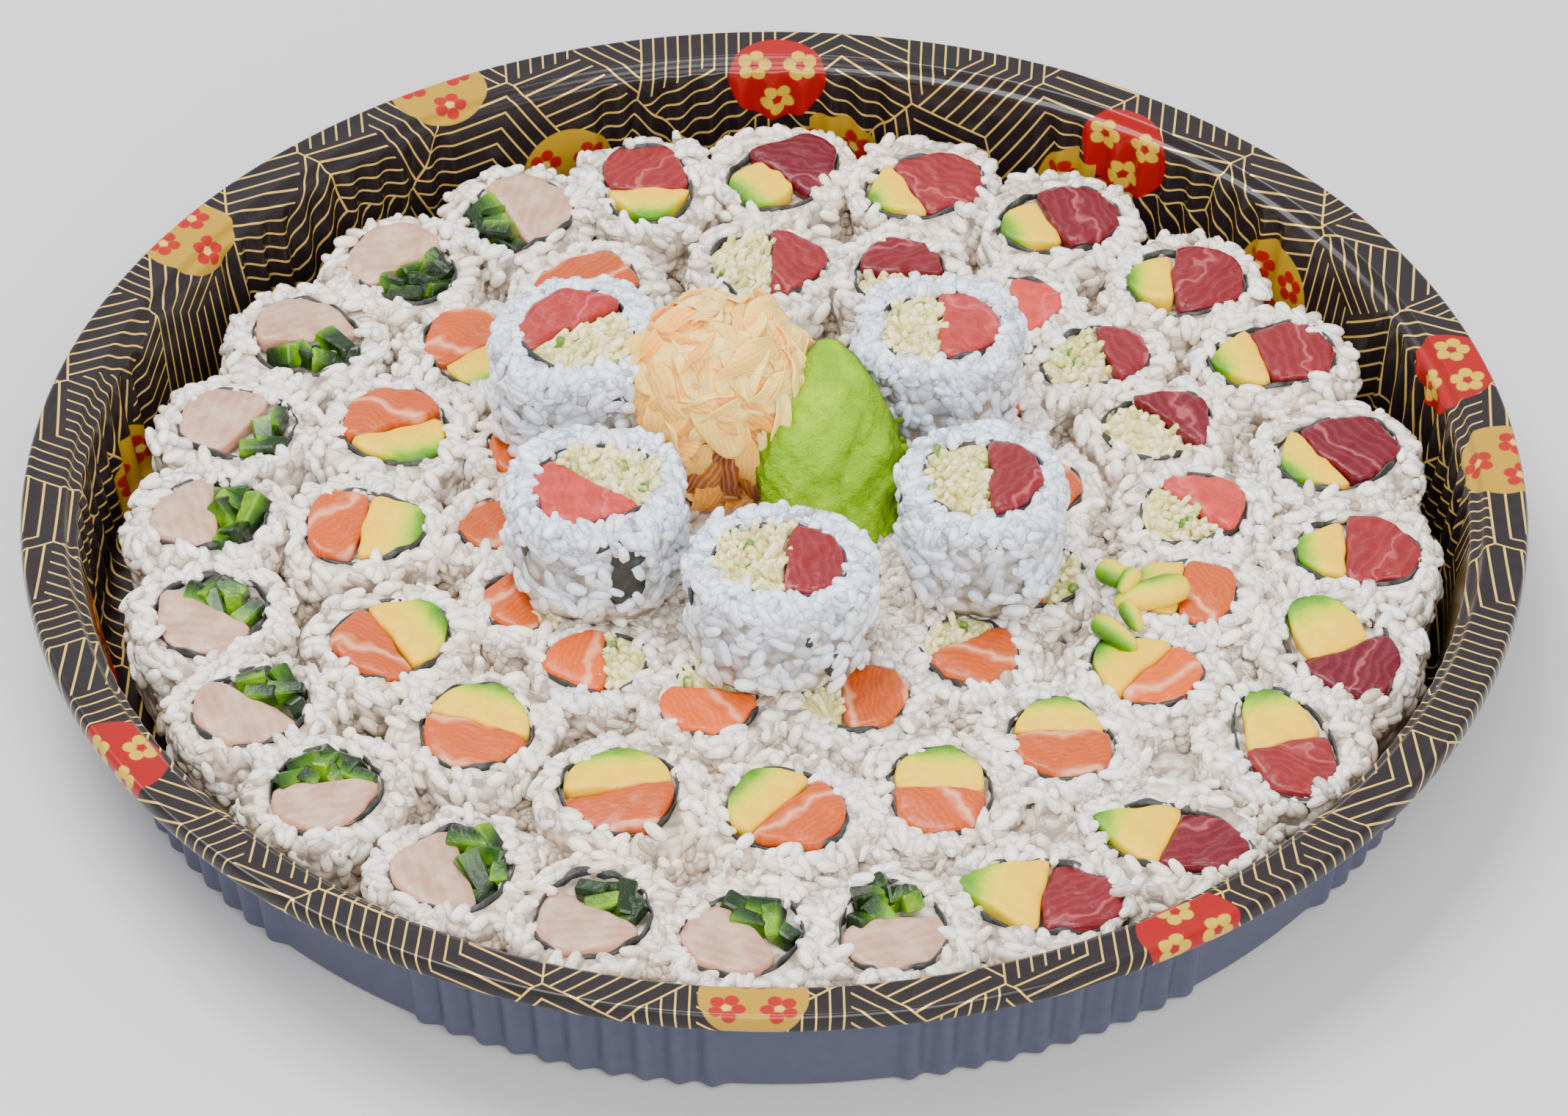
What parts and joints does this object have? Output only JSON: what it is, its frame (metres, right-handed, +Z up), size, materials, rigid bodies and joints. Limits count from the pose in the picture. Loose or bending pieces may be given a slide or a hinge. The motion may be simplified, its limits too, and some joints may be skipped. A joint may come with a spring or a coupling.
{
  "type": "takeaway sushi tray",
  "caption": "Round ribbed takeaway tray with a flat rim, filled with rings of inside-out sushi rolls, a few stacked on top, with pickled ginger and a leaf-shaped piece of wasabi.",
  "frame": {"origin": "middle of the tray's flat underside", "axes": "+Z up out of the tray, +Y away from the viewer, +X to the right"},
  "size_m": [0.3598, 0.3598, 0.069],
  "materials": {
    "tray_print": "glossy black-brown printed with thin gold lines and red and gold medallions",
    "rice": "moist cooked white rice, slightly translucent",
    "nori": "damp dark green-black seaweed sheet",
    "tuna": "raw rose-red fish, moist, finely marbled",
    "salmon": "raw orange fish with pale stripes, moist",
    "white_fish": "raw pinkish beige fish with a fine grain, moist",
    "avocado": "ripe yellow flesh turning green at the edge",
    "green_pepper": "diced green pepper with a dark shiny skin",
    "cucumber": "moist pale green shredded cucumber",
    "ginger": "thin moist slices, translucent peach to cream",
    "wasabi": "matt bright green paste with a grainy surface"
  },
  "bodies": {
    "root": {"tray": "tray_print", "outer_roll_01": "rice", "outer_roll_02": "rice", "outer_roll_03": "rice", "outer_roll_04": "rice", "outer_roll_05": "rice", "outer_roll_06": "rice", "outer_roll_07": "rice", "outer_roll_08": "rice", "outer_roll_09": "rice", "outer_roll_10": "rice", "outer_roll_11": "rice", "outer_roll_12": "rice", "outer_roll_13": "rice", "outer_roll_14": "rice", "outer_roll_15": "rice", "outer_roll_16": "rice", "outer_roll_17": "rice", "outer_roll_18": "rice", "outer_roll_19": "rice", "outer_roll_20": "rice", "outer_roll_21": "rice", "outer_roll_22": "rice", "outer_roll_23": "rice", "outer_roll_24": "rice", "middle_roll_01": "rice", "middle_roll_02": "rice", "middle_roll_03": "rice", "middle_roll_04": "rice", "middle_roll_05": "rice", "middle_roll_06": "rice", "middle_roll_07": "rice", "middle_roll_08": "rice", "middle_roll_09": "rice", "middle_roll_10": "rice", "middle_roll_11": "rice", "middle_roll_12": "rice", "middle_roll_13": "rice", "middle_roll_14": "rice", "middle_roll_15": "rice", "middle_roll_16": "rice", "middle_roll_17": "rice", "middle_roll_18": "rice", "inner_roll_01": "rice", "inner_roll_02": "rice", "inner_roll_03": "rice", "inner_roll_04": "rice", "inner_roll_05": "rice", "inner_roll_06": "rice", "inner_roll_07": "rice", "inner_roll_08": "rice", "inner_roll_09": "rice", "inner_roll_10": "rice", "raised_roll_1": "rice", "raised_roll_2": "rice", "raised_roll_3": "rice", "raised_roll_4": "rice", "raised_roll_5": "rice", "ginger": "ginger", "wasabi": "wasabi"}
  },
  "joints": []
}
